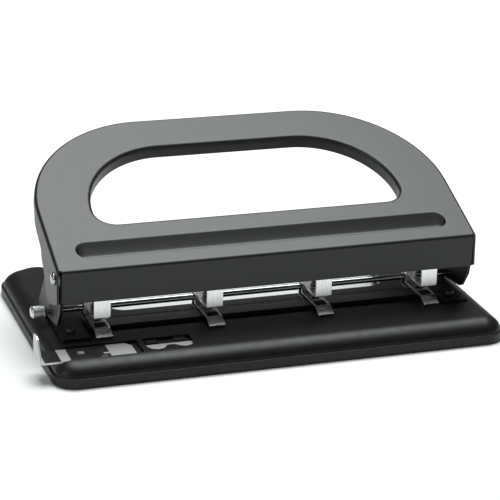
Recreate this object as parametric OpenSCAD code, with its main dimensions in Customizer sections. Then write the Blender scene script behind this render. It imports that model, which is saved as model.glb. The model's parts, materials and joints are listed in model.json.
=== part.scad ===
// Heavy-duty four-hole paper punch with a D-shaped lever handle.
// Millimetres. X runs along the punch, +Y points away from the user, +Z up.
// The origin is on the table, under the middle of the row of punch pins.

/* [Hole pattern] */
// Distance between neighbouring punch pins
pitch = 80; // [75:1:85]
// Diameter of the punched hole
hole_d = 6; // [5:0.5:7]

/* [Base] */
// Half of the base length
base_half = 163; // [150:1:175]
// Front edge of the base, in Y
base_front = -64; // [-70:1:-50]
// Height of the flat top of the base
base_top = 16.5; // [14:0.5:20]
// Height of the seam between the tray and the top panel
seam = 7.2; // [6:0.1:10]

/* [Heads] */
// Width of a head bracket and its die plate
head_w = 11.7; // [10:0.2:16]
// Top face of the die plates
die_top = 21.7; // [20:0.1:24]
// Underside of the head's lower arm
arm_low = 27.6; // [26:0.1:30]
// Upper face of the head's top arm
head_top = 51.5; // [48:0.5:56]

/* [Handle] */
// Tilt of the handle plate at rest, degrees
tilt = 21.3; // [15:0.1:30]
// Half of the handle width
handle_half = 152.5; // [145:0.5:160]
// Length of the handle plate, measured along the plate
handle_len = 155; // [140:1:170]
// Height of the front edge of the handle plate
handle_z = 67; // [60:1:75]
// Pivot position behind the pin row
pivot_y = -13; // [-16:0.5:-8]
// Pivot height
pivot_z = 59.5; // [55:0.5:64]

/* [Gauge] */
// Left end of the paper gauge at rest
gauge_left = -171; // [-180:1:-166]

/* [Hidden] */
$fn = 48;
e = 0.01;
HX = [-1.5 * pitch, -0.5 * pitch, 0.5 * pitch, 1.5 * pitch];

black = [0.10, 0.10, 0.11];
steel = [0.78, 0.79, 0.80];
pin_r = hole_d / 2;

// Base outline: corner centres and radii, front then rear.
front_r = 16;
rear_r = 19.5;
front_cx = base_half - front_r;
front_cy = base_front + front_r;
rear_cx = base_half - rear_r;
rear_cy = 108.5;

// Gap between the two rear legs.
gap_y = 26;
gap_cx = 91;
gap_r = 10;
slope_x = 0.956;
slope_y = 0.292;

// Shoulder of the top panel: its width, and 1 for an ellipse or more for a flatter curve.
shoulder_w = 12.5;
bulge = 1.12;

// Chip tray and the feet under it.
tray_low = 0.5;
tray_wall = 2;
tray_floor = 1.7;
chip_r = 4;

// Frame brackets that carry the handle.
ear_out = 150;
ear_t = 2;
foot_t = 1.8;
foot_in = 129;
foot_out = 148.6;
foot_screw_x = 140;
foot_screw_ys = [-8, 36];
screw_low = 12;
pivot_r = 3;

// Die rail and heads.
rail_half = 128;
rail_top = 20.2;
sheet = 1.5;
head_screw_y = 9.5;
head_screw_r = 1.5;

// Punch pins, their clips and springs.
pin_tip = 28;
pin_head_z = 60;
pin_head_t = 2;
pin_head_r = 4.8;
clip_t = 1;
pin_clip_z = 48.8;
pin_neck_r = 2.4;

// Locking rod and its knob.
rod_y = 15.9;
rod_z = 24.6;
rod_r = 2.3;
rod_left = -160;
rod_right = 153.5;
rod_clip_x = 150.25;
rod_neck_r = 1.5;
knob_r = 4.3;
knob_left = -162.5;

// Handle cover.
handle_front = -22;
flange_low = 43.8;
flange_half = 149.3;
groove_x = 127.5;
groove_s = 19.8;
groove_r = 7.3;
groove_depth = 5;
bar_half = 132;
bar_r = 3;
bar_z = 65.3;

// Paper gauge and the channel it slides in.
channel_top = 13.9;
channel_t = 1.5;
gauge_z = 14;
gauge_t = 1.2;
gauge_front = -50.2;
gauge_rear = -30.3;
label_front = gauge_front + 0.5;
label_rear = gauge_rear - 0.5;
label_t = 0.3;

// ---------------------------------------------------------------- base

module outline(g = 0) {
    translate([-base_half + g, front_cy])
        square([2 * (base_half - g), rear_cy - front_cy]);
    translate([-front_cx, base_front + g])
        square([2 * front_cx, front_r]);
    translate([-rear_cx, rear_cy - 1])
        square([2 * rear_cx, rear_r + 1 - g]);
    for (s = [-1, 1]) {
        translate([s * front_cx, front_cy])
            circle(r = front_r - g);
        translate([s * rear_cx, rear_cy])
            circle(r = rear_r - g);
    }
}

module gap(g = 0) {
    tx = gap_cx + (gap_r + g) * slope_x;
    ty = gap_y + gap_r - (gap_r + g) * slope_y;
    difference() {
        union() {
            polygon([[-gap_cx, gap_y - g], [gap_cx, gap_y - g], [tx, ty],
                [123.6 + g, rear_cy], [rear_cx, rear_cy], [rear_cx, 140],
                [-rear_cx, 140], [-rear_cx, rear_cy], [-123.6 - g, rear_cy],
                [-tx, ty]]);
            for (s = [-1, 1])
                translate([s * gap_cx, gap_y + gap_r])
                    circle(r = gap_r + g);
        }
        for (s = [-1, 1])
            translate([s * rear_cx, rear_cy])
                circle(r = rear_r - g);
    }
}

// Rounded shoulder: a stack of outlines that draw in towards the flat top.
module shoulder(inset, width, low, rise) {
    hull()
        for (t = [0 : 15 : 90]) {
            d = inset + width * (1 - pow(cos(t), bulge));
            z = low + rise * pow(sin(t), bulge) - 0.02;
            for (s = [-1, 1]) {
                translate([s * front_cx, front_cy, z])
                    cylinder(r = front_r - d, h = 0.02);
                translate([s * rear_cx, rear_cy, z])
                    cylinder(r = rear_r - d, h = 0.02);
            }
        }
}

// Cut-out over the index plate: a slot with two round lobes towards the front.
module index_window() {
    translate([-96, -40])
        square([33, 11]);
    translate([-88, -43])
        square([19, 6]);
    translate([-89, -41.5])
        circle(r = 7);
    translate([-69.5, -41])
        circle(r = 6.5);
}

module base_panel() {
    color(black)
        difference() {
            shoulder(1.5, shoulder_w, seam, base_top - seam);
            translate([0, 0, seam - 1])
                linear_extrude(20)
                    gap();
            difference() {
                shoulder(3.1, shoulder_w - 1.6, seam - 0.1, base_top - seam - 1.4);
                translate([0, 0, seam - 1])
                    linear_extrude(20)
                        gap(1.6);
            }
            // chip holes
            for (x = HX)
                translate([x, 0, 10])
                    cylinder(r = chip_r, h = 10);
            // gauge slot, open at the left edge
            translate([-175, gauge_front - 0.8, channel_top])
                cube([75, gauge_rear - gauge_front + 1.6, 5]);
            // window over the index plate
            translate([0, 0, channel_top])
                linear_extrude(5)
                    index_window();
            // screw holes
            for (s = [-1, 1])
                for (y = foot_screw_ys)
                    translate([s * foot_screw_x, y, 10])
                        cylinder(r = 2, h = 10);
            for (x = HX)
                translate([x, head_screw_y, 10])
                    cylinder(r = head_screw_r, h = 10);
        }
}

module chip_tray() {
    color([0.07, 0.07, 0.075])
        difference() {
            translate([0, 0, tray_low])
                linear_extrude(seam - tray_low - 0.02)
                    difference() {
                        outline();
                        gap();
                    }
            translate([0, 0, tray_low + tray_floor])
                linear_extrude(10)
                    difference() {
                        outline(tray_wall);
                        gap(tray_wall);
                    }
        }
}

module rubber_feet() {
    color([0.05, 0.05, 0.05])
        for (p = [[0, 0], [-146, -44], [146, -44], [-140, 40], [140, 40],
            [-143, 104], [143, 104]])
            translate([p[0], p[1], 0])
                cylinder(r = 7, h = tray_low);
}

// ---------------------------------------------------------------- frame

module die_rail() {
    color([0.12, 0.12, 0.13])
        difference() {
            translate([-rail_half, -9, base_top])
                cube([2 * rail_half, 13, rail_top - base_top]);
            translate([-rail_half - 1, -7.5, base_top - 1])
                cube([2 * rail_half + 2, 10, rail_top - base_top + 1 - sheet]);
            for (x = HX)
                translate([x, 0, 10])
                    cylinder(r = 3.6, h = 20);
        }
}

module ear_shape() {
    polygon([[49.5, base_top], [23.5, 49], [-8.5, 64.9], [-16.5, 65.5],
        [-19.9, 61], [-19.9, 43.5], [-18.4, 36.5], [-10.5, 24.8],
        [-6.5, 22.8], [18, 20.4], [22, 19.4], [23, base_top]]);
    translate([pivot_y, pivot_z])
        circle(r = 6.9);
}

// Right-hand bracket: a foot on the base and an upright ear.
module frame_bracket() {
    difference() {
        union() {
            translate([foot_in, -22, base_top])
                cube([foot_out - foot_in, 72, foot_t]);
            translate([ear_out - ear_t, 0, 0])
                rotate([90, 0, 90])
                    linear_extrude(ear_t)
                        ear_shape();
        }
        translate([foot_screw_x, pivot_y, pivot_z])
            rotate([0, 90, 0])
                cylinder(r = pivot_r, h = 20);
        translate([foot_screw_x, rod_y, rod_z])
            rotate([0, 90, 0])
                cylinder(r = rod_r + 0.06, h = 20);
        for (y = foot_screw_ys)
            translate([foot_screw_x, y, 10])
                cylinder(r = 2, h = 10);
    }
}

module frame_right() {
    color(black)
        frame_bracket();
}

module frame_left() {
    color(black)
        mirror([1, 0, 0])
            frame_bracket();
}

module frame_screws() {
    color(black)
        for (s = [-1, 1])
            for (y = foot_screw_ys)
                translate([s * foot_screw_x, y, 0]) {
                    translate([0, 0, screw_low])
                        cylinder(r = 2, h = base_top + foot_t - screw_low + e);
                    difference() {
                        translate([0, 0, base_top + foot_t])
                            cylinder(r1 = 3.5, r2 = 2.8, h = 2);
                        translate([-2, -0.4, base_top + foot_t + 1.2])
                            cube([4, 0.8, 2]);
                        translate([-0.4, -2, base_top + foot_t + 1.2])
                            cube([0.8, 4, 2]);
                    }
                }
}

module head_screws() {
    color(black)
        for (x = HX)
            translate([x, head_screw_y, 0]) {
                translate([0, 0, screw_low])
                    cylinder(r = head_screw_r, h = 18 - screw_low + e);
                translate([0, 0, 18])
                    cylinder(r = 2.6, h = 1.7);
            }
}

// ---------------------------------------------------------------- heads

module die_plate(x) {
    color([0.72, 0.73, 0.74])
        translate([x - head_w / 2, 0, 0])
            difference() {
                rotate([90, 0, 90])
                    linear_extrude(head_w)
                        polygon([[-15, die_top - sheet], [-22.3, 16.55], [-23.2, 16.55],
                            [-23.2, 17.7], [-15, die_top], [12, die_top],
                            [12, arm_low], [13.5, arm_low], [13.5, die_top - sheet]]);
                translate([head_w / 2 - 4.1, -14.2, 15])
                    cube([8.2, 9, 10]);
                translate([head_w / 2, 0, 15])
                    cylinder(r = pin_r + 0.06, h = 10);
            }
}

module die_plate_1() { die_plate(HX[0]); }
module die_plate_2() { die_plate(HX[1]); }
module die_plate_3() { die_plate(HX[2]); }
module die_plate_4() { die_plate(HX[3]); }

module head_bracket(x) {
    color(steel)
        translate([x - head_w / 2, 0, 0])
            difference() {
                rotate([90, 0, 90])
                    linear_extrude(head_w)
                        polygon([[-16, arm_low], [18.3, arm_low], [18.3, 18],
                            [5, 18], [5, base_top], [19.8, base_top],
                            [19.8, arm_low + sheet], [-14.5, arm_low + sheet],
                            [-14.5, head_top - sheet], [6, head_top - sheet],
                            [6, head_top], [-16, head_top]]);
                translate([head_w / 2, 0, arm_low - 1])
                    cylinder(r = pin_r + 0.08, h = 30);
                translate([head_w / 2, head_screw_y, base_top - 1])
                    cylinder(r = head_screw_r, h = 3);
            }
}

module head_bracket_1() { head_bracket(HX[0]); }
module head_bracket_2() { head_bracket(HX[1]); }
module head_bracket_3() { head_bracket(HX[2]); }
module head_bracket_4() { head_bracket(HX[3]); }

// Punch pin: two-point cutting tip, circlip groove and a flat head.
module punch_pin(x) {
    color([0.62, 0.63, 0.65])
        translate([x, 0, 0])
            difference() {
                union() {
                    translate([0, 0, pin_tip])
                        cylinder(r = pin_r, h = pin_head_z - pin_tip + e);
                    translate([0, 0, pin_head_z])
                        cylinder(r = pin_head_r, h = pin_head_t);
                }
                translate([0, 0, pin_tip - 1.4])
                    rotate([0, 45, 0])
                        translate([-1.8, -4, -1.8])
                            cube([3.6, 8, 3.6]);
                translate([0, 0, pin_clip_z - 0.05])
                    difference() {
                        cylinder(r = 4, h = clip_t + 0.1);
                        translate([0, 0, -1])
                            cylinder(r = pin_neck_r, h = 3);
                    }
            }
}

module punch_pin_1() { punch_pin(HX[0]); }
module punch_pin_2() { punch_pin(HX[1]); }
module punch_pin_3() { punch_pin(HX[2]); }
module punch_pin_4() { punch_pin(HX[3]); }

// Retaining clip: a flat ring with an open mouth.
module e_clip(od, id) {
    difference() {
        cylinder(r = od / 2, h = clip_t);
        translate([0, 0, -1])
            cylinder(r = id / 2, h = clip_t + 2);
        translate([-id * 0.36, 0, -1])
            cube([id * 0.72, od, clip_t + 2]);
    }
}

module pin_clip(x) {
    color([0.3, 0.3, 0.32])
        translate([x, 0, pin_clip_z])
            e_clip(9.8, 2 * pin_neck_r + 0.04);
}

module pin_clip_1() { pin_clip(HX[0]); }
module pin_clip_2() { pin_clip(HX[1]); }
module pin_clip_3() { pin_clip(HX[2]); }
module pin_clip_4() { pin_clip(HX[3]); }

spring_low = 29.12;
spring_high = 48.76;
spring_r = 3.95;
wire_r = 0.6;
turns = 6.5;
end_rise = 1.35;
steps = 12;
sides = 8;
rings = turns * steps;
climb = spring_high - spring_low - 2 * wire_r;

// Height of the wire's centre after t turns: the end coils lie almost closed.
function coil_z(t) = t < 1 ? end_rise * t
    : t > turns - 1 ? climb - end_rise * (turns - t)
    : end_rise + (climb - 2 * end_rise) * (t - 1) / (turns - 2);

function coil_point(i, j) =
    let (a = 360 * i / steps, b = 360 * j / sides, r = spring_r + wire_r * cos(b))
        [r * cos(a), r * sin(a), coil_z(i / steps) + wire_r * sin(b)];

function ring_index(i, j) = i * sides + j % sides;

// Compression spring with closed ends, swept as one closed skin.
module return_spring(x) {
    color(steel)
        translate([x, 0, spring_low + wire_r])
            polyhedron(
                points = [for (i = [0 : rings]) for (j = [0 : sides - 1]) coil_point(i, j)],
                faces = concat(
                    [[for (j = [sides - 1 : -1 : 0]) ring_index(0, j)]],
                    [[for (j = [0 : sides - 1]) ring_index(rings, j)]],
                    [for (i = [0 : rings - 1]) for (j = [0 : sides - 1])
                        [ring_index(i, j), ring_index(i, j + 1), ring_index(i + 1, j)]],
                    [for (i = [0 : rings - 1]) for (j = [0 : sides - 1])
                        [ring_index(i, j + 1), ring_index(i + 1, j + 1), ring_index(i + 1, j)]]));
}

module return_spring_1() { return_spring(HX[0]); }
module return_spring_2() { return_spring(HX[1]); }
module return_spring_3() { return_spring(HX[2]); }
module return_spring_4() { return_spring(HX[3]); }

// ---------------------------------------------------------------- pivots

module pivot_pins() {
    color(steel)
        for (s = [-1, 1])
            translate([0, pivot_y, pivot_z])
                rotate([0, s * 90, 0]) {
                    translate([0, 0, 146.8])
                        cylinder(r = 4, h = 1.2);
                    translate([0, 0, 148])
                        cylinder(r = pivot_r, h = 4.71);
                    translate([0, 0, 149.87])
                        intersection() {
                            sphere(r = 5.23);
                            translate([0, 0, 2.83])
                                cylinder(r = 6, h = 5);
                        }
                }
}

module pivot_washers() {
    color([0.85, 0.85, 0.82])
        for (s = [-1, 1])
            translate([0, pivot_y, pivot_z])
                rotate([0, s * 90, 0])
                    translate([0, 0, ear_out + 0.02])
                        difference() {
                            cylinder(r = 6, h = 0.94);
                            translate([0, 0, -1])
                                cylinder(r = pivot_r, h = 3);
                        }
}

// ---------------------------------------------------------------- handle

plate_r = 92.5;
plate_cx = handle_half - plate_r;
plate_cs = handle_len - plate_r;

module d_shape(g = 0) {
    intersection() {
        union() {
            translate([-handle_half + g, -1])
                square([2 * (handle_half - g), plate_cs + 1]);
            translate([-plate_cx, 0])
                square([2 * plate_cx, handle_len - g]);
            for (s = [-1, 1])
                translate([s * plate_cx, plate_cs])
                    circle(r = plate_r - g, $fn = 96);
        }
        translate([-200, 0])
            square([400, 200]);
    }
}

hole_low = 44.8;
hole_high = 122.6;
hole_half = 113.6;
hole_r = 63;
hole_low_r = 15;

module hand_hole(g = 0) {
    intersection() {
        union() {
            for (s = [-1, 1])
                translate([s * (hole_half - hole_r), hole_high - hole_r])
                    circle(r = hole_r + g, $fn = 96);
            translate([-(hole_half - hole_r), hole_low])
                square([2 * (hole_half - hole_r), hole_high + g - hole_low]);
            translate([-(hole_half + g), hole_low - g])
                square([2 * (hole_half + g), hole_high - hole_r - hole_low + g]);
        }
        union() {
            translate([-(hole_half + g), hole_low + hole_low_r])
                square([2 * (hole_half + g), 100]);
            translate([-(hole_half - hole_low_r), hole_low - g])
                square([2 * (hole_half - hole_low_r), 100]);
            for (s = [-1, 1])
                translate([s * (hole_half - hole_low_r), hole_low + hole_low_r])
                    circle(r = hole_low_r + g);
        }
    }
}

// Outline of the groove pressed into the plate above the pin heads.
module groove(g = 0) {
    for (s = [-1, 1])
        translate([s * groove_x, groove_s])
            circle(r = groove_r + g);
    translate([-groove_x, groove_s - groove_r - g])
        square([2 * groove_x, 2 * (groove_r + g)]);
}

// Side flange with the pivot lug, seen from the side.
module side_flange_shape() {
    r = tan(tilt);
    y = handle_front + sheet;
    polygon([[y, handle_z + sheet * r], [y, flange_low], [5, 34.6], [8.5, 36.5],
        [16.5, 51.5], [23, 58.5], [25.5, 65.5], [32, 70.3], [40, 75], [46, 80.5],
        [49.5, 87.2], [54, handle_z + 76 * r - 2.5], [54, handle_z + 76 * r]]);
}

module handle_cover() {
    color([0.16, 0.16, 0.17])
        difference() {
            union() {
                translate([0, handle_front, handle_z])
                    rotate([tilt, 0, 0]) {
                        // top plate
                        translate([0, 0, -sheet])
                            linear_extrude(sheet)
                                difference() {
                                    d_shape();
                                    hand_hole();
                                    groove();
                                }
                        // rolled rim round the arch
                        translate([0, 0, -7.5])
                            linear_extrude(7.5 - sheet / 2)
                                difference() {
                                    d_shape();
                                    d_shape(sheet);
                                    translate([-200, -1])
                                        square([400, 72]);
                                }
                        // turned-in lip of the hand hole
                        translate([0, 0, -10])
                            linear_extrude(10 - sheet / 2)
                                difference() {
                                    hand_hole(sheet);
                                    hand_hole();
                                }
                        // pressed groove
                        translate([0, 0, -groove_depth])
                            linear_extrude(groove_depth - sheet / 2)
                                difference() {
                                    groove(sheet);
                                    groove();
                                }
                        translate([0, 0, -groove_depth])
                            linear_extrude(sheet)
                                groove(e);
                    }
                // front flange
                rotate([90, 0, 90])
                    translate([0, 0, -flange_half])
                        linear_extrude(2 * flange_half)
                            polygon([[handle_front, flange_low],
                                [handle_front + sheet, flange_low],
                                [handle_front + sheet, handle_z + sheet * tan(tilt)],
                                [handle_front, handle_z]]);
                // side flanges
                for (s = [-1, 1])
                    translate([s > 0 ? handle_half - sheet : -handle_half, 0, 0])
                        rotate([90, 0, 90])
                            linear_extrude(sheet)
                                side_flange_shape();
            }
            // pivot holes
            translate([-160, pivot_y, pivot_z])
                rotate([0, 90, 0])
                    cylinder(r = pivot_r + 0.06, h = 320);
        }
}

// Bar under the groove that pushes the four pin heads down.
module press_bar() {
    color(steel)
        translate([-bar_half, 0, 0])
            rotate([90, 0, 90])
                linear_extrude(2 * bar_half) {
                    translate([0, bar_z])
                        circle(r = bar_r);
                    polygon([[-bar_r, bar_z], [bar_r, bar_z], [bar_r, bar_z + 6.08],
                        [-bar_r, bar_z + 3.74]]);
                }
}

// ---------------------------------------------------------------- rod

module lock_rod() {
    color([0.85, 0.86, 0.87])
        translate([rod_left, rod_y, rod_z])
            rotate([0, 90, 0])
                difference() {
                    cylinder(r = rod_r, h = rod_right - rod_left);
                    translate([0, 0, rod_clip_x - rod_left - 0.05])
                        difference() {
                            cylinder(r = 4, h = clip_t + 0.1);
                            translate([0, 0, -1])
                                cylinder(r = rod_neck_r, h = 3);
                        }
                }
}

module rod_knob() {
    color([0.8, 0.8, 0.81])
        translate([knob_left, rod_y, rod_z])
            rotate([0, 90, 0])
                difference() {
                    union() {
                        cylinder(r1 = knob_r - 0.8, r2 = knob_r, h = 1.2);
                        translate([0, 0, 1.2])
                            cylinder(r = knob_r, h = 8.1);
                        translate([0, 0, 9.3])
                            cylinder(r1 = knob_r, r2 = knob_r - 0.5, h = 0.7);
                    }
                    translate([0, 0, 2.5])
                        cylinder(r = rod_r, h = 10);
                }
}

module rod_clip() {
    color([0.3, 0.3, 0.32])
        translate([rod_clip_x, rod_y, rod_z])
            rotate([0, 90, 0])
                e_clip(7.5, 2 * rod_neck_r + 0.04);
}

// ---------------------------------------------------------------- gauge

module gauge_channel() {
    color([0.08, 0.08, 0.085])
        union() {
            translate([-150, -51.6, channel_top - channel_t])
                cube([92, 24.6, channel_t]);
            // rear guide rail and end stop, up to the underside of the panel
            translate([-148, -29.3, channel_top - 0.1])
                cube([51, 2.3, 1.1]);
            translate([-99.9, -47.2, channel_top - 0.1])
                cube([2.8, 18, 1.1]);
            // two blocks behind the index plate
            translate([-94, -34.5, channel_top - 0.1])
                cube([8, 5.5, 1.4]);
            translate([-74, -34.5, channel_top - 0.1])
                cube([8, 5.5, 1.4]);
        }
}

module gauge_bar() {
    color([0.82, 0.83, 0.84])
        union() {
            // blade that slides in the channel
            translate([0, 0, gauge_z])
                linear_extrude(gauge_t)
                    polygon([[gauge_left, gauge_front], [-104.5, gauge_front],
                        [-104.5, -35], [-108.5, gauge_rear], [gauge_left, gauge_rear]]);
            // upright fin that the paper's edge rests against
            translate([gauge_left, 0, 0])
                rotate([90, 0, 90])
                    linear_extrude(gauge_t)
                        polygon([[gauge_front, gauge_z + e], [gauge_rear, gauge_z + e],
                            [gauge_rear, 27.5], [-32, 29.5], [-38, 30], [-41, 28.8],
                            [gauge_front, 18]]);
        }
}

// Printed strip on the bar, with a notch that leaves a metal pointer.
module gauge_label() {
    color([0.06, 0.06, 0.06])
        translate([0, 0, gauge_z + gauge_t + e])
            linear_extrude(label_t)
                polygon([[-149.5, label_front], [-122, label_front], [-122, -44.5],
                    [-126, -44.5], [-126, -41.5], [-122, -41.5],
                    [-122, label_rear], [-149.5, label_rear]]);
}

module gauge_end_label() {
    color([0.06, 0.06, 0.06])
        translate([-167.6, label_front, gauge_z + gauge_t + e])
            cube([11.2, label_rear - label_front, label_t]);
}

// Bright plate under the second window; two dark blocks stand behind it.
module index_plate() {
    color([0.85, 0.86, 0.87])
        translate([-96.6, -48.5, channel_top + e])
            cube([34.6, 12, 0.8]);
}

// ---------------------------------------------------------------- nodes

base_panel();
chip_tray();
rubber_feet();
die_rail();
frame_left();
frame_right();
frame_screws();
head_screws();
die_plate_1();
die_plate_2();
die_plate_3();
die_plate_4();
head_bracket_1();
head_bracket_2();
head_bracket_3();
head_bracket_4();
punch_pin_1();
punch_pin_2();
punch_pin_3();
punch_pin_4();
pin_clip_1();
pin_clip_2();
pin_clip_3();
pin_clip_4();
return_spring_1();
return_spring_2();
return_spring_3();
return_spring_4();
pivot_pins();
pivot_washers();
handle_cover();
press_bar();
lock_rod();
rod_knob();
rod_clip();
gauge_channel();
gauge_bar();
gauge_label();
gauge_end_label();
index_plate();
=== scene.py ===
import json
import math

import bmesh
import bpy
from mathutils import Matrix, Vector

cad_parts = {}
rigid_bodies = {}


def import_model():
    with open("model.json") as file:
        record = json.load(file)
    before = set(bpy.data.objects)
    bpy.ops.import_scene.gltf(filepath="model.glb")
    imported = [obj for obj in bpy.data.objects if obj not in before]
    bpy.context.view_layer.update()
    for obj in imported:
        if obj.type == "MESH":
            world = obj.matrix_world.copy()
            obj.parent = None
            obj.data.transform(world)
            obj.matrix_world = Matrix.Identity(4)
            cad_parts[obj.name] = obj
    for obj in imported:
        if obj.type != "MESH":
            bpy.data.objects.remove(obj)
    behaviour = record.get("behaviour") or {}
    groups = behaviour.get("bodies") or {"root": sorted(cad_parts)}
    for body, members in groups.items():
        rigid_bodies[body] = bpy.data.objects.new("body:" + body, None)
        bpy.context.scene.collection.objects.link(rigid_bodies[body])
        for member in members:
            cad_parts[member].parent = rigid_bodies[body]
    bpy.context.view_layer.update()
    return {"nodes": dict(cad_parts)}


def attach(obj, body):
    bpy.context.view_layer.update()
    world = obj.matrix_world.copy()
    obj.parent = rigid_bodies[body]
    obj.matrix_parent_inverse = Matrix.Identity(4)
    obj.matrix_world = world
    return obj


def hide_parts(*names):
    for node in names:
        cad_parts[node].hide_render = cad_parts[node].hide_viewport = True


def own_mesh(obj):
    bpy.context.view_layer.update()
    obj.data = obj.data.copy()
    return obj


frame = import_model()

MM = 0.001
HEADS = (-120.0, -40.0, 40.0, 120.0)

# Sizes are in millimetres.
SHEET = 1.5                             # thickness of the pressed sheet
SEAM, TOP = 7.2, 16.5                   # base: joint of tray and panel, and the panel's top
CHANNEL_TOP = 13.95                     # gauge channel under the panel
HEAD_HALF, STRIP_HALF = 5.85, 0.75      # heads: half width and half thickness of the strip
PIN_R = 3.0
SPRING_LOW, SPRING_HIGH = 29.12, 48.76
HINGE_Y, HINGE_Z = -13, 59.5
ROD_Y, ROD_Z = 15.9, 24.6

# Base outline: half length, corner centres and radii, the gap between the rear legs, and the
# ends of the right leg's straight inner side with its inward normal.
BASE_HALF, BASE_FRONT = 163.0, -64.0
FRONT_X, FRONT_Y, FRONT_R = 147, -48, 16
REAR_X, REAR_Y, REAR_R = 143.5, 108.5, 19.5
GAP_X, GAP_Y, GAP_R = 91, 36, 10
LEG_END, LEG_START, LEG_NORMAL = (124.85, 114.2), (100.56, 33.08), (0.9564, -0.2922)

# Handle plate in its own coordinates, its place, and the hand hole, groove and rim in it.
TILT = 21.3
PLATE_HALF, PLATE_LEN, PLATE_R, PLATE_FRONT = 152.5, 155.0, 92.5, 1.8
HANDLE_Y, HANDLE_Z, FLANGE_LOW = -22.0, 67, 43.8
HOLE_LOW, HOLE_HIGH, HOLE_HALF, HOLE_R, HOLE_LOW_R = 44.8, 122.6, 113.6, 63.0, 15.0
GROOVE_X, GROOVE_S, GROOVE_R = 127.5, 19.8, 7.3
RIM_LOW = -7.5

# Gauge: the blade's left end, edges and faces, and its printed strips.
GAUGE_LEFT, GAUGE_FRONT, GAUGE_REAR = -171, -50.2, -30.3
GAUGE_LOW, GAUGE_T = 14, 1.2
STRIP_FRONT, STRIP_REAR, STRIP_LOW, STRIP_TOP = -49.7, -30.8, 15.21, 15.49
MARK_Z = 15.505


# ------------------------------------------------------------------ camera

def place_camera():
    az, el, roll = math.radians(19.15), math.radians(20.68), math.radians(1.81)
    fwd = Vector((math.sin(az) * math.cos(el), math.cos(az) * math.cos(el), -math.sin(el)))
    right = Vector((math.cos(az), -math.sin(az), 0.0))
    up = right.cross(fwd)
    r2 = right * math.cos(roll) + up * math.sin(roll)
    u2 = -right * math.sin(roll) + up * math.cos(roll)
    cam = bpy.data.cameras.new("camera")
    cam.lens = 145.5
    cam.sensor_width = 36.0
    cam.clip_end = 30.0
    ob = bpy.data.objects.new("camera", cam)
    bpy.context.scene.collection.objects.link(ob)
    m = Matrix((r2, u2, -fwd)).transposed().to_4x4()
    m.translation = Vector((-0.4412, -1.2412, 0.5582))
    ob.matrix_world = m
    bpy.context.scene.camera = ob


place_camera()


# --------------------------------------------------------------- materials

def principled(name):
    m = bpy.data.materials.new(name)
    m.use_nodes = True
    return m, m.node_tree, m.node_tree.nodes["Principled BSDF"]


def node(nt, kind, **values):
    n = nt.nodes.new(kind)
    for key, value in values.items():
        n.inputs[key].default_value = value
    return n


def noise(nt, scale, detail, stretch):
    """Noise in the object's own coordinates; scale is in cycles per metre."""
    tc = node(nt, "ShaderNodeTexCoord")
    mp = node(nt, "ShaderNodeMapping", Scale=stretch)
    n = node(nt, "ShaderNodeTexNoise", Scale=scale, Detail=detail, Roughness=0.5)
    nt.links.new(tc.outputs["Object"], mp.inputs["Vector"])
    nt.links.new(mp.outputs["Vector"], n.inputs["Vector"])
    return n.outputs["Fac"]


def ramp(nt, fac, low, high):
    """Colour from low to high over the middle of the noise's range."""
    r = node(nt, "ShaderNodeValToRGB")
    for stop, position, color in zip(r.color_ramp.elements, (0.35, 0.65), (low, high)):
        stop.position = position
        stop.color = (*color, 1)
    nt.links.new(fac, r.inputs["Fac"])
    return r.outputs["Color"]


def spread(nt, fac, low, high):
    """Value from low to high over the middle of the noise's range."""
    ends = {"From Min": 0.3, "From Max": 0.7, "To Min": low, "To Max": high}
    m = node(nt, "ShaderNodeMapRange", **ends)
    nt.links.new(fac, m.inputs["Value"])
    return m.outputs["Result"]


def bump(nt, bsdf, heights):
    """heights: (fac, distance in metres) pairs, finest last."""
    last = None
    for fac, distance in heights:
        b = node(nt, "ShaderNodeBump", Strength=1.0, Distance=distance)
        nt.links.new(fac, b.inputs["Height"])
        if last:
            nt.links.new(last, b.inputs["Normal"])
        last = b.outputs["Normal"]
    nt.links.new(last, bsdf.inputs["Normal"])


def finish_material(name, color, rough, metallic=0.0, vary=0.1, cloud=28, rough_vary=0.05,
                    rough_scale=160, bumps=(), stretch=(1, 1, 1), specular=0.5):
    """vary, rough_vary: unevenness of the colour (a share of it) and of the roughness.
    cloud, rough_scale: how fine each is, in cycles per metre.
    bumps: (cycles per metre, height in metres, stretch) of each."""
    m, nt, b = principled(name)
    b.inputs["Metallic"].default_value = metallic
    b.inputs["Specular IOR Level"].default_value = specular
    low = [c * (1 - vary) for c in color]
    high = [min(1, c * (1 + vary)) for c in color]
    fac = noise(nt, cloud, 4.0, stretch)
    nt.links.new(ramp(nt, fac, low, high), b.inputs["Base Color"])
    fac = noise(nt, rough_scale, 3.0, stretch)
    nt.links.new(spread(nt, fac, rough - rough_vary, rough + rough_vary), b.inputs["Roughness"])
    if bumps:
        bump(nt, b, [(noise(nt, s, 2.0, st), d) for s, d, st in bumps])
    return m


# How the noise is squeezed: brushed along x or z (FINE for the bumps), or turned round z.
EVEN, BRUSH_X, BRUSH_Z, TURNED = (1, 1, 1), (1, 14, 14), (14, 14, 1), (1, 1, 12)
FINE_X, FINE_Z = (1, 20, 20), (20, 20, 1)

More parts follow.
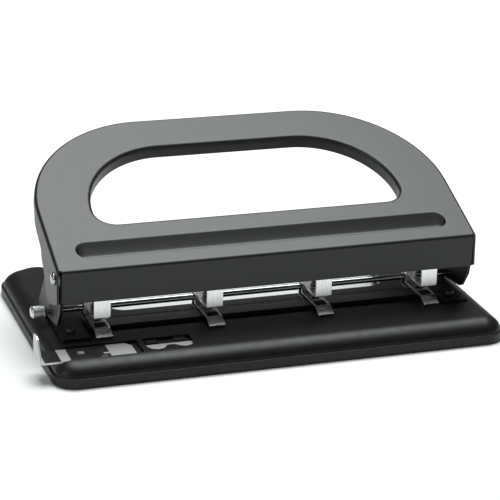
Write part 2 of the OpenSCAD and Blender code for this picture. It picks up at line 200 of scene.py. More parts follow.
LOOKS = {
    "handle_enamel": dict(color=(0.009, 0.0095, 0.0095), rough=0.4, vary=0.03, rough_vary=0.01,
                          bumps=((700, 0.00002, EVEN), (2600, 0.00001, EVEN))),
    "black_enamel": dict(color=(0.003, 0.0032, 0.0032), rough=0.42, vary=0.12, rough_vary=0.04,
                         bumps=((800, 0.00002, EVEN), (3000, 0.00001, EVEN)), specular=0.35),
    "tray_plastic": dict(color=(0.003, 0.0032, 0.0032), rough=0.45, vary=0.12,
                         bumps=((1800, 0.000025, EVEN),), specular=0.35),
    "foot_rubber": dict(color=(0.02, 0.02, 0.02), rough=0.85, vary=0.2,
                        bumps=((2500, 0.00004, EVEN),)),
    "zinc_steel": dict(color=(0.55, 0.55, 0.56), rough=0.32, metallic=1.0, vary=0.1, cloud=90,
                       stretch=BRUSH_X, rough_vary=0.08, bumps=((900, 0.000006, FINE_X),)),
    "head_nickel": dict(color=(0.86, 0.86, 0.85), rough=0.3, metallic=1.0, vary=0.05, cloud=120,
                        stretch=BRUSH_Z, rough_vary=0.06, bumps=((900, 0.000006, FINE_Z),)),
    "black_screws": dict(color=(0.03, 0.03, 0.032), rough=0.36, vary=0.15, cloud=400,
                         bumps=((1500, 0.00001, EVEN),)),
    "pin_steel": dict(color=(0.45, 0.45, 0.46), rough=0.22, metallic=1.0, vary=0.08,
                      stretch=TURNED, bumps=((1600, 0.000004, TURNED),)),
    "spring_steel": dict(color=(0.5, 0.5, 0.51), rough=0.28, metallic=1.0, vary=0.1, cloud=300),
    "dark_clip": dict(color=(0.035, 0.035, 0.038), rough=0.45, metallic=1.0, vary=0.2, cloud=500),
    "chrome_parts": dict(color=(0.42, 0.43, 0.44), rough=0.14, metallic=1.0, vary=0.03,
                         rough_vary=0.03, rough_scale=60, bumps=((300, 0.000004, EVEN),)),
    "knob_metal": dict(color=(0.66, 0.66, 0.67), rough=0.3, metallic=1.0, vary=0.08, cloud=260,
                       bumps=((2400, 0.000008, EVEN),)),
    "washer_nylon": dict(color=(0.72, 0.7, 0.64), rough=0.5, vary=0.05),
    "channel_plastic": dict(color=(0.012, 0.012, 0.013), rough=0.5, vary=0.15,
                            bumps=((1500, 0.00002, EVEN),)),
    "gauge_metal": dict(color=(0.62, 0.62, 0.61), rough=0.38, metallic=0.45, vary=0.07, cloud=120,
                        stretch=BRUSH_X, rough_vary=0.07, bumps=((900, 0.000006, FINE_X),)),
    "clip_metal": dict(color=(0.66, 0.66, 0.66), rough=0.3, metallic=0.4, vary=0.05, cloud=200,
                       bumps=((260, 0.00004, EVEN),)),
    "label_print": dict(color=(0.01, 0.01, 0.01), rough=0.35, vary=0.15, cloud=200),
    "label_white": dict(color=(0.75, 0.75, 0.73), rough=0.45, vary=0.04, cloud=300),
}
MAT = {name: finish_material(name, **look) for name, look in LOOKS.items()}


# ------------------------------------------------------------ mesh helpers

def link(name, me):
    ob = bpy.data.objects.new(name, me)
    bpy.context.scene.collection.objects.link(ob)
    return ob


def make(name, verts, faces, mat=None, merge=0):
    me = bpy.data.meshes.new(name)
    me.from_pydata([(x * MM, y * MM, z * MM) for x, y, z in verts], [], faces)
    bm = bmesh.new()
    bm.from_mesh(me)
    if merge:
        bmesh.ops.remove_doubles(bm, verts=bm.verts, dist=merge * MM)
    bmesh.ops.recalc_face_normals(bm, faces=bm.faces)
    for f in bm.faces:
        f.smooth = True
    bm.to_mesh(me)
    bm.free()
    if mat:
        me.materials.append(MAT[mat])
    return link(name, me)


def bake(ob):
    """Applies the object's modifiers."""
    bpy.context.view_layer.update()
    dg = bpy.context.evaluated_depsgraph_get()
    me = bpy.data.meshes.new_from_object(ob.evaluated_get(dg))
    ob.modifiers.clear()
    ob.data = me


def boolean(ob, operation, *others):
    """Unites the others with ob or takes them from it, and removes them."""
    for other in others:
        m = ob.modifiers.new("boolean", "BOOLEAN")
        m.operation = operation
        m.solver = "EXACT"
        m.object = other
    bake(ob)
    for other in others:
        bpy.data.objects.remove(other, do_unlink=True)


def soften(ob, width, segments=2, angle=35, weld=0.0):
    """Rounds the sharp edges a little and evens out the shading."""
    if weld:
        w = ob.modifiers.new("weld", "WELD")
        w.merge_threshold = weld * MM
    m = ob.modifiers.new("edges", "BEVEL")
    m.width = width * MM
    m.segments = segments
    m.limit_method = "ANGLE"
    m.angle_limit = math.radians(angle)
    m.miter_outer = "MITER_ARC"
    w = ob.modifiers.new("shade", "WEIGHTED_NORMAL")
    w.keep_sharp = True
    w.weight = 60


def sharpen(ob, angle):
    """Keeps edges over the angle crisp on a smooth-shaded mesh."""
    bm = bmesh.new()
    bm.from_mesh(ob.data)
    for e in bm.edges:
        e.smooth = not (len(e.link_faces) == 2 and e.calc_face_angle(0) > math.radians(angle))
    bm.to_mesh(ob.data)
    bm.free()


def fillet(points, radii, step=12):
    """An open 2-D path with its inner corners rounded."""
    pts = [Vector(p) for p in points]
    out = [pts[0]]
    for i in range(1, len(pts) - 1):
        a = (pts[i - 1] - pts[i]).normalized()
        b = (pts[i + 1] - pts[i]).normalized()
        r = radii[i - 1]
        half = a.angle(b) / 2
        c = pts[i] + (a + b).normalized() * (r / math.sin(half))
        start = pts[i] + a * (r / math.tan(half)) - c
        end = pts[i] + b * (r / math.tan(half)) - c
        a0 = math.atan2(start.y, start.x)
        turn = (math.atan2(end.y, end.x) - a0 + math.pi) % (2 * math.pi) - math.pi
        n = max(2, int(abs(turn) / math.radians(step)) + 1)
        for k in range(n + 1):
            t = a0 + turn * k / n
            out.append(c + Vector((math.cos(t), math.sin(t))) * r)
    out.append(pts[-1])
    return out


def closed_fillet(points, radii, step=12):
    """A closed 2-D polygon with its corners rounded."""
    n = len(points)
    ext = [Vector(points[-1])] + [Vector(p) for p in points] + [Vector(points[0])]
    full = []
    for i in range(n):
        piece = fillet([ext[i], ext[i + 1], ext[i + 2]], [radii[i]], step)
        full += piece[1:-1]
    return full


def ribbon(path, half):
    """The outline of a strip, half each side of an open path."""
    left, right = [], []
    for i, p in enumerate(path):
        d0 = (p - path[i - 1]).normalized() if i else None
        d1 = (path[i + 1] - p).normalized() if i < len(path) - 1 else d0
        d0 = d0 or d1
        m = (d0 + d1).normalized()
        off = Vector((-m.y, m.x)) * half / max(0.4, m.dot(d0))
        left.append(p + off)
        right.append(p - off)
    return left + right[::-1]


def prism(name, poly, lo, hi, axis, mat=None):
    """A closed polygon swept straight along x or z."""
    place = {"x": lambda u, v, w: (w, u, v), "z": lambda u, v, w: (u, v, w)}[axis]
    n = len(poly)
    verts = [place(p[0], p[1], lo) for p in poly] + [place(p[0], p[1], hi) for p in poly]
    faces = [list(range(n)), list(range(n, 2 * n))]
    faces += [[i, (i + 1) % n, n + (i + 1) % n, n + i] for i in range(n)]
    return make(name, verts, faces, mat)


def on_circle(cx, cy, r, a):
    """The point at angle a (radians) on a circle."""
    return cx + r * math.cos(a), cy + r * math.sin(a)


def circle(cx, cy, r):
    return [on_circle(cx, cy, r, 2 * math.pi * k / 48) for k in range(48)]


def arc(cx, cy, r, degrees):
    return [on_circle(cx, cy, r, math.radians(d)) for d in degrees]


def rrect(x0, y0, x1, y1, r):
    return closed_fillet([(x0, y0), (x1, y0), (x1, y1), (x0, y1)], [r] * 4, 15)


def lathe(name, profile, centre, axis, mat, n=48, shape=None):
    """profile: (radius, distance along the axis) pairs that start on the axis."""
    verts, faces = [], []
    for r, h in profile:
        for k in range(n):
            a = 2 * math.pi * k / n
            rr = shape(r, h, a) if shape else r
            u, v = rr * math.cos(a), rr * math.sin(a)
            x, y, z = {"x": (h, u, v), "-x": (-h, u, v), "z": (u, v, h)}[axis]
            verts.append((centre[0] + x, centre[1] + y, centre[2] + z))
    for i in range(len(profile) - 1):
        for k in range(n):
            a, b = i * n + k, i * n + (k + 1) % n
            faces.append([a, b, b + n, a + n])
    if profile[-1][0]:
        faces.append([(len(profile) - 1) * n + k for k in range(n)])
    ob = make(name, verts, faces, mat, merge=0.0002)
    sharpen(ob, 40)
    return ob


def ladder(bm, rows, closed=True):
    """Joins rows of positions (mm) with quads; returns the rows of vertices."""
    made = [[bm.verts.new((x * MM, y * MM, z * MM)) for x, y, z in row] for row in rows]
    for a, b in zip(made, made[1:]):
        n = len(a)
        for k in range(n if closed else n - 1):
            bm.faces.new((a[k], a[(k + 1) % n], b[(k + 1) % n], b[k]))
    return made


def loop_edges(bm, loop, closed=True):
    n = len(loop)
    return [bm.edges.get((loop[k], loop[(k + 1) % n])) for k in range(n if closed else n - 1)]


def from_bm(name, bm, mat, up_at=None):
    """A mesh object from bm; with up_at, the face nearest to it (mm) is made to look up."""
    bmesh.ops.remove_doubles(bm, verts=bm.verts, dist=0.0005 * MM)
    bmesh.ops.recalc_face_normals(bm, faces=bm.faces)
    if up_at:
        near = min(bm.faces, key=lambda f: (f.calc_center_median() - Vector(up_at) * MM).length)
        if near.normal.z < 0:
            bmesh.ops.reverse_faces(bm, faces=bm.faces)
    for f in bm.faces:
        f.smooth = True
    me = bpy.data.meshes.new(name)
    bm.to_mesh(me)
    bm.free()
    me.materials.append(MAT[mat])
    return link(name, me)


def shell(ob):
    """Gives a surface the thickness of the sheet, inward."""
    m = ob.modifiers.new("sheet", "SOLIDIFY")
    m.thickness = SHEET * MM
    m.offset = -1
    m.use_even_offset = True
    m.use_quality_normals = True
    bake(ob)


def own(ob, body, slot, *nodes):
    """Puts the piece on its body, in place of the CAD nodes named."""
    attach(ob, body)
    if nodes:
        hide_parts(*nodes)


# -------------------------------------------------------------------- base

def smooth_step(t):
    t = min(1.0, max(0.0, t))
    return t * t * (3 - 2 * t)


def half_outline():
    """Right half of the base outline, front to rear: point, inward normal, shoulder share."""
    out = []
    for k in range(9):
        out.append(((FRONT_X * k / 8, BASE_FRONT), (0, 1), 1.0))
    for k in range(1, 13):
        a = math.radians(-90 + 90 * k / 12)
        out.append((on_circle(FRONT_X, FRONT_Y, FRONT_R, a), (-math.cos(a), -math.sin(a)), 1.0))
    for k in range(1, 9):
        out.append(((BASE_HALF, FRONT_Y + (REAR_Y - FRONT_Y) * k / 8), (-1, 0), 1.0))
    for k in range(1, 25):
        deg = 163 * k / 24
        a = math.radians(deg)
        out.append((on_circle(REAR_X, REAR_Y, REAR_R, a), (-math.cos(a), -math.sin(a)),
                    1 - smooth_step((deg - 70) / 90)))
    for k in range(1, 8):
        t = k / 8
        out.append((tuple(a + (b - a) * t for a, b in zip(LEG_END, LEG_START)), LEG_NORMAL, 0.0))
    for k in range(9):
        a = math.radians(-17 - 73 * k / 8)
        out.append((on_circle(GAP_X, GAP_Y, GAP_R, a), (math.cos(a), math.sin(a)), 0.0))
    for k in range(1, 7):
        out.append(((GAP_X * (1 - k / 6), GAP_Y - GAP_R), (0, -1), 0.0))
    return out


def outline():
    right = half_outline()
    left = [((-x, y), (-nx, ny), s) for (x, y), (nx, ny), s in right[1:-1]]
    return right + left[::-1]


def index_window():
    """Slot with two round lobes at its front edge, over the index plate."""
    pts = [(-63.0, -29.0), (-96.0, -29.0), (-96.0, -40.5)]
    pts += arc(-89, -41.5, 7, range(180, 316, 9))
    pts += [(-82.0, -43.0), (-77.0, -43.0)]
    return pts + arc(-69.5, -41, 6.5, range(216, 361, 9))


def base_panel():
    """Panel with a wide, soft shoulder at the front and sides and a small one at the rear."""
    pts = outline()
    step, round_r, wide, full = 1.5, 2.0, 10.5, 0.12
    rows = [[(x + nx * step, y + ny * step, SEAM - 0.02) for (x, y), (nx, ny), s in pts]]
    for deg in range(0, 91, 6):
        t = math.radians(deg)
        row = []
        for (x, y), (nx, ny), s in pts:
            p = 1 + full * s
            h = round_r + (TOP - SEAM - round_r) * s
            d = step + (round_r + wide * s) * (1 - max(0.0, math.cos(t)) ** p)
            row.append((x + nx * d, y + ny * d, TOP - h + h * math.sin(t) ** p))
        rows.append(row)
    bm = bmesh.new()
    made = ladder(bm, rows)
    bmesh.ops.triangle_fill(bm, use_beauty=True, edges=loop_edges(bm, made[-1]))
    ob = from_bm("base_panel_shell", bm, "black_enamel", up_at=(0, -20, TOP))
    shell(ob)
    cutters = [prism("cutter", rrect(-190, -51, -100, -29.5, 0.8), CHANNEL_TOP, 22, "z"),
               prism("cutter", index_window(), CHANNEL_TOP, 22, "z")]
    cutters += [prism("cutter", circle(x, 0, 4), 10, 22, "z") for x in HEADS]
    boolean(ob, "DIFFERENCE", *cutters)
    soften(ob, 0.35, 2, 50)
    own(ob, "base", "black_enamel", "base_panel")


def chip_tray():
    pts = outline()
    low, top, wall, floor_t = 0.5, SEAM - 0.02, 2, 1.7
    round_low, round_top, flat_from = 0.6, 0.5, 2.2

    def row(inset, z):
        return [(x + nx * inset, y + ny * inset, z) for (x, y), (nx, ny), s in pts]

    rows = [row(flat_from, low)]
    for deg in range(0, 91, 30):
        t = math.radians(deg)
        rows.append(row(round_low * (1 - math.sin(t)), low + round_low * (1 - math.cos(t))))
    for deg in range(0, 91, 30):
        t = math.radians(deg)
        rows.append(row(round_top * (1 - math.cos(t)), top - round_top + round_top * math.sin(t)))
    rows.append(row(wall, top))
    rows.append(row(wall, low + floor_t))
    bm = bmesh.new()
    made = ladder(bm, rows)
    bmesh.ops.triangle_fill(bm, use_beauty=True, edges=loop_edges(bm, made[0]))
    bmesh.ops.triangle_fill(bm, use_beauty=True, edges=loop_edges(bm, made[-1]))
    ob = from_bm("chip_tray_moulding", bm, "tray_plastic")
    w = ob.modifiers.new("shade", "WEIGHTED_NORMAL")
    w.keep_sharp = True
    sharpen(ob, 60)
    own(ob, "base", "tray_plastic", "chip_tray")


def feet():
    places = [(0, 0), (-146, -44), (146, -44), (-140, 40), (140, 40), (-143, 104), (143, 104)]
    prof = [(0, 0.15), (5.2, 0.15), (5.5, 0), (6.5, 0), (6.85, 0.1), (7, 0.25), (7, 0.5), (0, 0.5)]
    for k, (x, y) in enumerate(places, 1):
        ob = lathe(f"foot_pad_{k}", prof, (x, y, 0), "z", "foot_rubber")
        own(ob, "base", "foot_rubber", *(["rubber_feet"] if k == 1 else []))


# ------------------------------------------------------------------- heads

def heads():
    for k, x in enumerate(HEADS, 1):
        path = fillet([(6, 50.75), (-15.25, 50.75), (-15.25, 28.35), (19.05, 28.35),
                       (19.05, 17.25), (5, 17.25)], [0.95] * 4)
        left, right = x - HEAD_HALF, x + HEAD_HALF
        br = prism(f"head_{k}_bracket", ribbon(path, STRIP_HALF), left, right, "x", "head_nickel")
        pin_hole = prism("cutter", circle(x, 0, PIN_R + 0.08), 26, 54, "z")
        screw_hole = prism("cutter", circle(x, 9.5, 1.55), 15, 19, "z")
        boolean(br, "DIFFERENCE", pin_hole, screw_hole)
        soften(br, 0.22, 2, 40)
        own(br, "base", "head_nickel", f"head_bracket_{k}")

        path = fillet([(-22.75, 17.28), (-15.1, 20.95), (12.75, 20.95), (12.75, 27.6)], [1.2, 1.2])
        die = prism(f"head_{k}_die", ribbon(path, STRIP_HALF), left, right, "x", "zinc_steel")
        window = prism("cutter", rrect(x - 4.1, -14.2, x + 4.1, -5.2, 0.9), 15, 25, "z")
        die_hole = prism("cutter", circle(x, 0, PIN_R + 0.06), 15, 25, "z")
        boolean(die, "DIFFERENCE", window, die_hole)
        soften(die, 0.25, 2, 40)
        own(die, "base", "zinc_steel", f"die_plate_{k}")

        prof = [(0, 28.9), (1.2, 28.6), (2.5, 28.05), (2.92, 28.0), (PIN_R, 28.12), (PIN_R, 48.75),
                (2.4, 48.8), (2.4, 49.8), (PIN_R, 49.85), (PIN_R, 59.8), (3.1, 60), (4.45, 60),
                (4.7, 60.12), (4.8, 60.4), (4.8, 61.4), (4.6, 61.75), (4.1, 61.95), (3.2, 62),
                (0, 62)]
        pin = lathe(f"head_{k}_pin", prof, (x, 0, 0), "z", "pin_steel")
        own(pin, f"pin_{k}", "pin_steel", f"punch_pin_{k}")

        own(spring(f"head_{k}_spring", x), "base", "spring_steel", f"return_spring_{k}")


def spring(name, x):
    """Compression spring round the pin, with closed and ground ends."""
    turns, steps, sides, rise, wire, r = 6.5, 28, 12, 1.35, 0.6, 3.95
    climb = SPRING_HIGH - SPRING_LOW - 2 * wire
    total = int(turns * steps)

    def height(t):
        if t < 1:
            return rise * t
        if t > turns - 1:
            return climb - rise * (turns - t)
        return rise + (climb - 2 * rise) * (t - 1) / (turns - 2)

    verts, faces = [], []
    for i in range(total + 1):
        t = i / steps
        a = 2 * math.pi * t
        z = (height(max(0, t - 0.12)) + height(t) + height(min(turns, t + 0.12))) / 3
        grind = 0.55 if i in (0, total) else 1.0
        for j in range(sides):
            b = 2 * math.pi * j / sides
            rr = r + wire * grind * math.cos(b)
            verts.append((x + rr * math.cos(a), rr * math.sin(a),
                          SPRING_LOW + wire + z + wire * grind * math.sin(b)))
    for i in range(total):
        for j in range(sides):
            a, b = i * sides + j, i * sides + (j + 1) % sides
            faces.append([a, b, b + sides, a + sides])
    faces += [list(range(sides)), [total * sides + j for j in range(sides)]]
    return make(name, verts, faces, "spring_steel")


# ------------------------------------------------------------------ handle

SN, CS = math.sin(math.radians(TILT)), math.cos(math.radians(TILT))


def plate(x, s, n):
    """Handle plate coordinates: s runs up the plate from the front crease, n stands off it."""
    return (x, HANDLE_Y + s * CS - n * SN, HANDLE_Z + s * SN + n * CS)


# Lower edge of the side flange: s on the plate's edge, then s and n of the point below it.
SKIRT = [(PLATE_FRONT, -7.03, -22.16), (4, -4.2, -25.5), (8, 3.0, -31.4), (12.5, 12.0, -38.9),
         (14.5, 13.8, -39.9), (16.5, 16.0, -39.9), (18.5, 17.7, -39.2), (24, 24, -33.8),
         (30, 30.0, -28.6), (34, 33.6, -26.4), (38.8, 38.6, -24.4), (41.5, 41.4, -22.6),
         (43.7, 43.5, -19.2), (47, 46.4, -17.4), (51.5, 51.5, -16.5), (60.7, 60.7, -15.1),
         (65, 65.2, -13.9), (68.3, 68.3, -12.1), (71.5, 71.2, -9.2), (74, 73.9, -7.8),
         (78, 78, RIM_LOW), (400, 400, RIM_LOW)]


def skirt_bottom(s):
    """The s and n of the flange's lower edge beside the point s on the plate's edge."""
    for a, b in zip(SKIRT, SKIRT[1:]):
        if s <= b[0]:
            t = (s - a[0]) / (b[0] - a[0])
            return a[1] + (b[1] - a[1]) * t, a[2] + (b[2] - a[2]) * t


def plate_outline():
    """Open outline from the right front corner round the arch: x, s, inward normal."""
    cx, cs = PLATE_HALF - PLATE_R, PLATE_LEN - PLATE_R
    stops = [PLATE_FRONT, 3, 4, 6, 8, 10, 11.5, 12.5, 13.5, 14.5, 15.5, 16.5, 17.5, 18.5, 20, 22,
             24, 27, 30, 32, 34, 36.5, 38.8, 40.2, 41.5, 42.6, 43.7, 45.2, 47, 49, 51.5, 54, 57,
             60.7, cs]
    out = [(PLATE_HALF, s, -1.0, 0.0) for s in stops]
    for k in range(1, 49):
        a = math.radians(90 * k / 48)
        out.append((*on_circle(cx, cs, PLATE_R, a), -math.cos(a), -math.sin(a)))
    for k in range(1, 6):
        out.append((cx * (1 - k / 5), PLATE_LEN, 0.0, -1.0))
    return out + [(-x, s, -nx, ns) for x, s, nx, ns in out[-2::-1]]


def hole_outline():
    """Hand hole, anticlockwise from the bottom right corner: x, s, outward normal."""
    right = []
    cx, cs = HOLE_HALF - HOLE_LOW_R, HOLE_LOW + HOLE_LOW_R
    for k in range(13):
        a = math.radians(-90 + 90 * k / 12)
        right.append((*on_circle(cx, cs, HOLE_LOW_R, a), math.cos(a), math.sin(a)))
    # the low corner ends level with the start of this arc: the arc begins one step on, so that
    # the outline never doubles back
    ax, top = HOLE_HALF - HOLE_R, HOLE_HIGH - HOLE_R
    for k in range(1, 41):
        a = math.radians(90 * k / 40)
        right.append((*on_circle(ax, top, HOLE_R, a), math.cos(a), math.sin(a)))
    right += [(ax * (1 - k / 5), HOLE_HIGH, 0.0, 1.0) for k in range(1, 5)]
    left = [(-x, s, -nx, ns) for x, s, nx, ns in right]
    bottom = [(-cx + 2 * cx * k / 10, HOLE_LOW, 0.0, -1.0) for k in range(1, 10)]
    return right + [(0, HOLE_HIGH, 0.0, 1.0)] + left[::-1] + bottom


def groove_outline():
    """Stadium round the pressed groove, anticlockwise: x, s, outward normal."""
    out = []
    for side in (1, -1):
        for deg in range(0, 181, 10):
            a = math.radians(deg - 90 * side)
            x, s = on_circle(side * GROOVE_X, GROOVE_S, GROOVE_R, a)
            out.append((x, s, math.cos(a), math.sin(a)))
        for k in range(1, 12):
            out.append((side * GROOVE_X * (1 - k / 6), GROOVE_S + side * GROOVE_R, 0.0, side))
    return out


def side_rows():
    """Rounded rim of the plate and the side flange under it."""
    rim, rows = 2.6, []
    pts = plate_outline()
    for deg in range(90, -1, -15):
        t = math.radians(deg)
        g, n = rim * (1 - math.cos(t)), -rim * (1 - math.sin(t))
        rows.append([plate(x + nx * g, s + ns * g, n) for x, s, nx, ns in pts])
    for k in range(1, 6):
        row = []
        for x, s, nx, ns in pts:
            sb, nb = skirt_bottom(s)
            if s > PLATE_LEN - PLATE_R:
                sb, nb = s, min(nb, RIM_LOW)
            t = k / 5
            row.append(plate(x, s + (sb - s) * t, -rim + (nb + rim) * t))
        rows.append(row)
    return rows


def front_rows():
    """Front bend and flange, with its low corners rounded off."""
    ends = {149.3: 45.2, 148.6: 44.2, 147.6: 43.85}
    xs = [-x for x in ends] + [-145 + 290 * k / 40 for k in range(41)] + list(ends)[::-1]
    cy, cz, r = -19.37, 65.2, 2.63
    rows = [[plate(x, PLATE_FRONT, 0) for x in xs]]
    for k in range(1, 8):
        y, z = on_circle(cy, cz, r, math.radians(90 + TILT + (90 - TILT) * k / 7))
        rows.append([(x, y, z) for x in xs])
    for z in (60, 54, 48, 45.3):
        rows.append([(x, HANDLE_Y, z) for x in xs])
    rows.append([(x, HANDLE_Y, ends.get(abs(x), FLANGE_LOW)) for x in xs])
    return rows


def hole_rows():
    """Rounded edge of the hand hole and the lip turned down inside it."""
    lip, rows = 3.0, []
    hole = hole_outline()
    for deg in range(0, 91, 10):
        t = math.radians(deg)
        g, n = lip * (1 - math.sin(t)), -lip * (1 - math.cos(t))
        rows.append([plate(x + nx * g, s + ns * g, n) for x, s, nx, ns in hole])
    for n in (RIM_LOW, -9.9):
        rows.append([plate(x, s, n) for x, s, nx, ns in hole])
    return rows


def groove_rows():
    """Groove: offset from the outline, height, and the share of reach by which the rear wall
    slides forward, so that it is a long slope (the ends slide half as far)."""
    reach = 7.4
    prof = [(1.1, 0, 0), (0.75, -0.06, 0), (0.4, -0.22, 0.01), (0.1, -0.48, 0.04),
            (-0.15, -0.8, 0.1), (-0.5, -1.55, 0.26), (-0.85, -2.4, 0.46), (-1.2, -3.2, 0.66),
            (-1.55, -3.9, 0.84), (-1.9, -4.35, 0.95), (-2.3, -4.5, 1.0)]
    return [[plate(x + nx * g, s + ns * g - reach * share * (1 + ns) / 2, n)
             for x, s, nx, ns in groove_outline()] for g, n, share in prof]


def handle_cover():
    bm = bmesh.new()
    outer = ladder(bm, side_rows(), closed=False)
    front = ladder(bm, front_rows(), closed=False)
    inner = ladder(bm, hole_rows())
    dip = ladder(bm, groove_rows())
    bmesh.ops.triangle_fill(bm, use_beauty=True, edges=loop_edges(bm, dip[-1]))

    ring, crease = outer[0], front[0]
    edges = loop_edges(bm, ring, closed=False) + loop_edges(bm, crease, closed=False)
    edges += [bm.edges.new((ring[-1], crease[0])), bm.edges.new((crease[-1], ring[0]))]
    edges += loop_edges(bm, inner[0]) + loop_edges(bm, dip[0])
    bmesh.ops.triangle_fill(bm, use_beauty=True, edges=edges)
    ob = from_bm("handle_shell", bm, "handle_enamel", up_at=plate(0, 35, 0))
    shell(ob)
    pivot_holes = prism("cutter", circle(HINGE_Y, HINGE_Z, PIN_R + 0.06), -160, 160, "x")
    boolean(ob, "DIFFERENCE", pivot_holes)
    soften(ob, 0.3, 2, 50)
    own(ob, "handle", "handle_enamel", "handle_cover")


# ----------------------------------------------------------- pins and knob

def pivots():
    prof = [(0, 146.8), (3.6, 146.8), (4, 147.0), (4, 147.98), (3, 148.0), (3, 152.6), (4.0, 152.7),
            (4.3, 152.75), (4.38, 153.0), (4.15, 153.6), (3.6, 154.2), (2.8, 154.65), (1.8, 154.95),
            (0.8, 155.07), (0, 155.09)]
    for side, ax, nodes in (("left", "-x", ["pivot_pins"]), ("right", "x", [])):
        ob = lathe(f"pivot_stud_{side}", prof, (0, HINGE_Y, HINGE_Z), ax, "chrome_parts")
        own(ob, "base", "chrome_parts", *nodes)


def rod_and_knob():
    centre = (0, ROD_Y, ROD_Z)
    prof = [(0, -160), (2.0, -160), (2.3, -159.7), (2.3, 150.2), (1.5, 150.22), (1.5, 151.28),
            (2.3, 151.3), (2.3, 153.1), (1.9, 153.5), (0, 153.5)]
    rod = lathe("rod_bar", prof, centre, "x", "chrome_parts")
    own(rod, "rod", "chrome_parts", "lock_rod")

    end, depth = -162.5, 0.3

    def knurl(r, h, a):
        """Diamonds: two sets of grooves that cross, 15 round the knob."""
        if r < 4.0 or not end + 1.5 < h < end + 9.2:
            return r
        u, v = a * 15 / math.pi, (h - end) * 1.9
        ridge = abs(((u + v) % 2) - 1) + abs(((u - v) % 2) - 1)
        return r - depth * (ridge / 2)

    prof = [(0, 0), (2.2, 0.02), (3.0, 0.2), (3.6, 0.6), (3.95, 1.2)]
    prof += [(4.3, 1.5 + 0.11 * k) for k in range(71)]
    prof += [(4.0, 9.4), (3.8, 9.8), (3.4, 10), (2.5, 10), (2.31, 9.9), (2.31, 2.6)]
    prof = [(r, end + h) for r, h in prof]
    knob = lathe("knurled_knob", prof, centre, "x", "knob_metal", 180, knurl)
    own(knob, "rod", "knob_metal", "rod_knob")


# ------------------------------------------------------------------- gauge

def gauge():
    poly = closed_fillet([(GAUGE_LEFT, GAUGE_FRONT), (-104.5, GAUGE_FRONT), (-104.5, -35),
                          (-108.5, GAUGE_REAR), (GAUGE_LEFT, GAUGE_REAR)],
                         [0.05, 1.2, 1.0, 1.0, 0.05])
    bar = prism("gauge_blade", poly, GAUGE_LOW, GAUGE_LOW + GAUGE_T, "z", "gauge_metal")
    poly = closed_fillet([(GAUGE_FRONT, GAUGE_LOW), (GAUGE_REAR, GAUGE_LOW), (GAUGE_REAR, 27.5),
                          (-32, 29.5), (-38, 30), (-41, 28.8), (GAUGE_FRONT, 18)],
                         [0.05, 0.05, 1.5, 1.5, 2, 2, 1.5])
    fin = prism("fin", poly, GAUGE_LEFT, GAUGE_LEFT + GAUGE_T, "x", "gauge_metal")
    boolean(bar, "UNION", fin)
    soften(bar, 0.25, 3, 40)
    own(bar, "gauge", "gauge_metal", "gauge_bar")

    scale = closed_fillet([(-149.5, STRIP_FRONT), (-122, STRIP_FRONT), (-122, -44.5), (-126, -44.5),
                           (-126, -41.5), (-122, -41.5), (-122, STRIP_REAR), (-149.5, STRIP_REAR)],
                          [0.6, 0.4, 0.3, 0.4, 0.4, 0.3, 0.4, 0.6])
    end_mark = rrect(-167.6, STRIP_FRONT, -156.4, STRIP_REAR, 0.8)
    for name, poly, cad_node in (("gauge_scale", scale, "gauge_label"),
                                 ("gauge_end_mark", end_mark, "gauge_end_label")):
        strip = prism(name, poly, STRIP_LOW, STRIP_TOP, "z", "label_print")
        soften(strip, 0.08, 1, 40)
        own(strip, "gauge", "label_print", cad_node)
    verts, faces = [], []

    def dash(x0, y0, x1, y1):
        n = len(verts)
        verts.extend((x, y, MARK_Z) for x, y in ((x0, y0), (x1, y0), (x1, y1), (x0, y1)))
        faces.append([n, n + 1, n + 2, n + 3])

    # equal parallel bars, so that nothing here reads as a character
    for k in range(3):
        dash(-128.2 + 1.5 * k, -49.0, -127.95 + 1.5 * k, -46.8)
        dash(-142.8, -41.0 + 1.7 * k, -138.6, -40.45 + 1.7 * k)
    marks = make("gauge_marks", verts, faces, "label_white")
    own(marks, "gauge", "label_print")


# ------------------------------------------------- CAD nodes that are kept

def keep(name, mat, width, segments=2):
    """Gives a CAD node its finished material and soft edges."""
    ob = frame["nodes"][name]
    ob.data.materials.clear()
    ob.data.materials.append(MAT[mat])
    soften(ob, width, segments, weld=0.002)


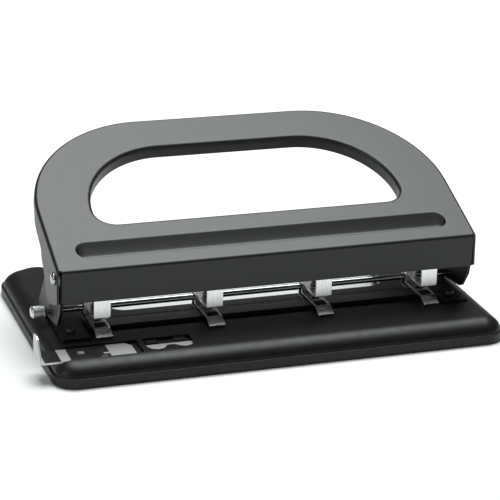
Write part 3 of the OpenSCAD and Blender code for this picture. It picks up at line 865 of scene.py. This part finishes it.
base_panel()
chip_tray()
feet()
heads()
handle_cover()
pivots()
rod_and_knob()
gauge()
for side in ("left", "right"):
    keep(f"frame_{side}", "black_enamel", 0.45, 3)
keep("die_rail", "black_enamel", 0.4, 3)
keep("frame_screws", "black_screws", 0.18)
keep("head_screws", "black_screws", 0.2)
keep("pivot_washers", "washer_nylon", 0.08, 1)
keep("press_bar", "zinc_steel", 0.3)
keep("rod_clip", "dark_clip", 0.15)
keep("gauge_channel", "channel_plastic", 0.25)
keep("index_plate", "clip_metal", 0.2, 3)
for k in (1, 2, 3, 4):
    keep(f"pin_clip_{k}", "dark_clip", 0.12)
for k in (1, 2, 3, 4):
    spring_ob = bpy.data.objects[f"head_{k}_spring"]
    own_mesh(spring_ob)


# ------------------------------------------------------------ stage, light

def stage():
    me = bpy.data.meshes.new("floor")
    n, half = 24, 6
    row = n + 1
    ticks = [-half + 2 * half * k / n for k in range(row)]
    verts = [(x, y, 0) for y in ticks for x in ticks]
    faces = [[j * row + i, j * row + i + 1, (j + 1) * row + i + 1, (j + 1) * row + i]
             for j in range(n) for i in range(n)]
    me.from_pydata(verts, [], faces)
    floor = link("floor", me)
    m, _, b = principled("floor")
    b.inputs["Base Color"].default_value = (0.93, 0.93, 0.93, 1)
    b.inputs["Roughness"].default_value = 0.9
    b.inputs["Specular IOR Level"].default_value = 0.1
    me.materials.append(m)


def area(name, loc, target, size, power):
    lamp = bpy.data.lights.new(name, "AREA")
    lamp.energy = power
    lamp.color = (0.955, 1.0, 0.985)
    lamp.size = size
    ob = bpy.data.objects.new(name, lamp)
    bpy.context.scene.collection.objects.link(ob)
    ob.location = loc
    ob.rotation_euler = (Vector(target) - Vector(loc)).to_track_quat("-Z", "Y").to_euler()


def lights():
    """A large soft box high behind the object, a weak fill from the left, and dim surroundings."""
    bpy.context.scene.view_settings.view_transform = "Standard"
    world = bpy.data.worlds.new("studio")
    bpy.context.scene.world = world
    world.use_nodes = True
    bg = world.node_tree.nodes["Background"]
    bg.inputs["Color"].default_value = (1.0, 1.0, 1.0, 1)
    bg.inputs["Strength"].default_value = 0.12
    area("top_box", (0.3, 0.66, 2.2), (0, 0.05, 0.05), 1.8, 73)
    area("left_box", (-1.8, -0.6, 1.0), (0, 0, 0.05), 0.8, 6)


stage()
lights()
